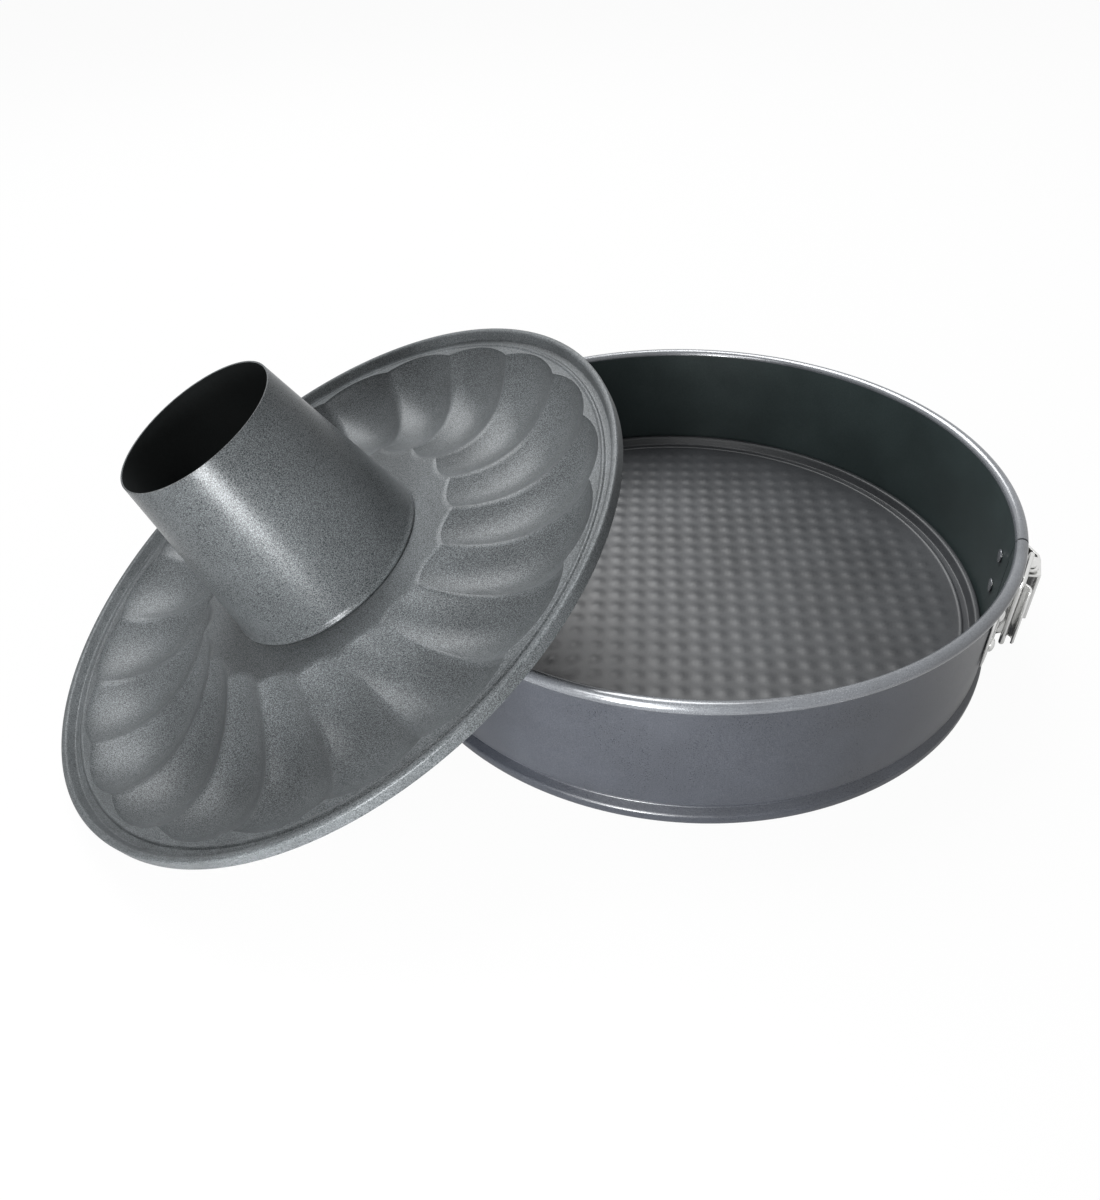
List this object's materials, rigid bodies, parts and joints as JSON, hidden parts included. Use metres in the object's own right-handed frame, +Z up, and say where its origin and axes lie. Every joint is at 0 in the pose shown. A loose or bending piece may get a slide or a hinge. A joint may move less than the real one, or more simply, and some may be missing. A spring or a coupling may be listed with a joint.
{
  "type": "savarin springform pan",
  "caption": "Round springform cake ring with an over-centre clasp and a flat dimpled base, with a fluted savarin insert and its tapered tube leaning on the rim.",
  "frame": {"origin": "middle of the set's footprint, on the table", "axes": "+Z up; +X along the set, from the leaning insert towards the ring's clasp; +Y to the back"},
  "size_m": [0.3998, 0.3246, 0.1387],
  "materials": {
    "coating": "satin non-stick coat on steel sheet",
    "floor_coating": "finely speckled non-stick coat on steel sheet",
    "plated_steel": "bright plated steel"
  },
  "bodies": {
    "pan": {"band_front_half": "coating", "hook_bracket": "plated_steel", "hook_rivet_lower": "plated_steel", "hook_rivet_upper": "plated_steel"},
    "band_back": {"band_back_half": "coating", "hinge_bracket": "plated_steel", "hinge_rivet_lower": "plated_steel", "hinge_rivet_upper": "plated_steel", "lever_pivot_pin": "plated_steel"},
    "lever": {"clamp_lever": "plated_steel"},
    "bail": {"tension_bail": "plated_steel"},
    "base": {"flat_base": "floor_coating"},
    "insert": {"insert_plate": "floor_coating", "insert_tube": "coating"}
  },
  "joints": [
    {"name": "band_spring", "type": "hinge", "parent": "pan", "child": "band_back", "pos_m": [-0.07255, 0.05858, 0.031], "axis": [0, 0, 1], "range_deg": [0, 1.34]},
    {"name": "lever_swing", "type": "hinge", "parent": "band_back", "child": "lever", "pos_m": [0.19351, 0.00229, 0.035], "axis": [0, 0, -1], "range_deg": [0, 120]},
    {"name": "bail_swing", "type": "hinge", "parent": "lever", "child": "bail", "pos_m": [0.19483, 0.00711, 0.035], "axis": [0, 0, 1], "range_deg": [0, 105]},
    {"name": "base_lift", "type": "slide", "parent": "pan", "child": "base", "axis": [0, 0, 1], "range_m": [0, 0.045]},
    {"name": "insert_lift", "type": "slide", "parent": "pan", "child": "insert", "axis": [0, 0, 1], "range_m": [0, 0.15]}
  ],
  "couplings": [
    {"joint": "band_spring", "follows": "lever_swing", "ratio": 0.0111},
    {"joint": "bail_swing", "follows": "lever_swing", "ratio": 0.87}
  ]
}
